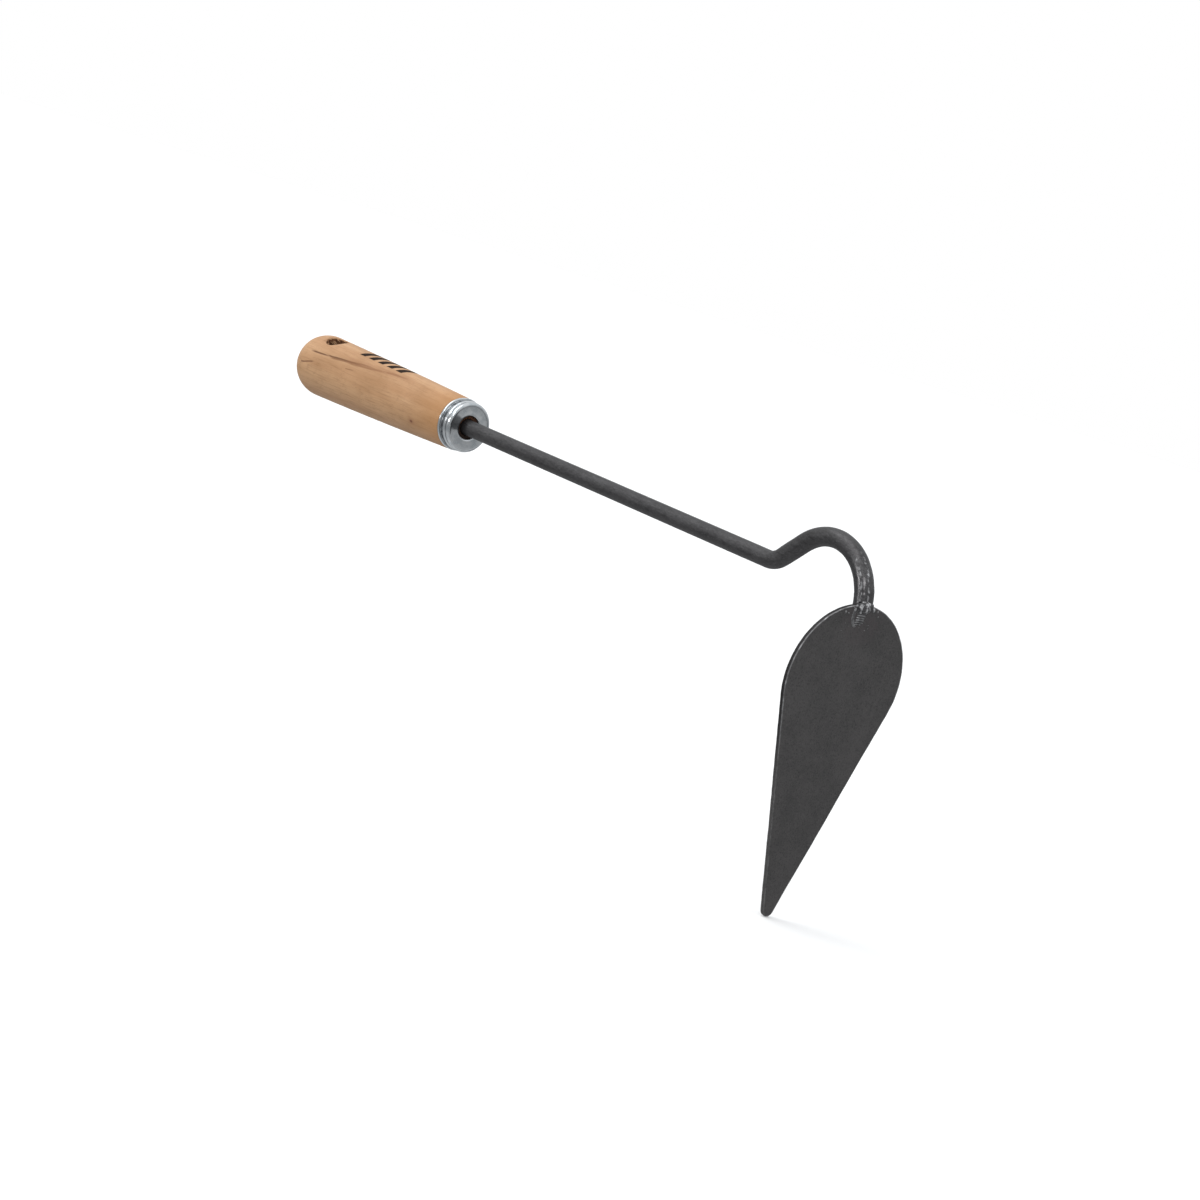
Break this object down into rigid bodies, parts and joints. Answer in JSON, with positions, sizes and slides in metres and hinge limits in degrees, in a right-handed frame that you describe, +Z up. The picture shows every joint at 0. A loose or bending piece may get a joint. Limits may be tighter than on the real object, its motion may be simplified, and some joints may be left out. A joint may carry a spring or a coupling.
{
  "type": "hand hoe",
  "caption": "Short one-hand hoe: leaf-shaped steel blade across the end of a round gooseneck shank, held in a tapered round wooden handle with a plated ferrule and a hanging hole.",
  "frame": {"origin": "centre of the hanging hole, on the handle's axis", "axes": "+X along the handle and the straight shank towards the blade; +Z up, away from the blade's tip; the blade's face is square to X and the tool's plane of symmetry is XZ, apart from the hanging hole, which is turned 18 degrees about X"},
  "size_m": [0.4455, 0.067, 0.1634],
  "materials": {
    "beech": "smooth oiled beech, satin",
    "zinc_plate": "bright zinc plating on pressed steel",
    "black_steel": "blackened, mill-scale steel bar, semi-matt",
    "blade_steel": "blackened steel sheet, semi-matt",
    "weld": "rippled weld metal under a thin black coat"
  },
  "bodies": {
    "root": {"handle": "beech", "ferrule": "zinc_plate", "shank": "black_steel", "blade": "blade_steel", "weld_bead_front": "weld", "weld_bead_back": "weld"}
  },
  "joints": []
}
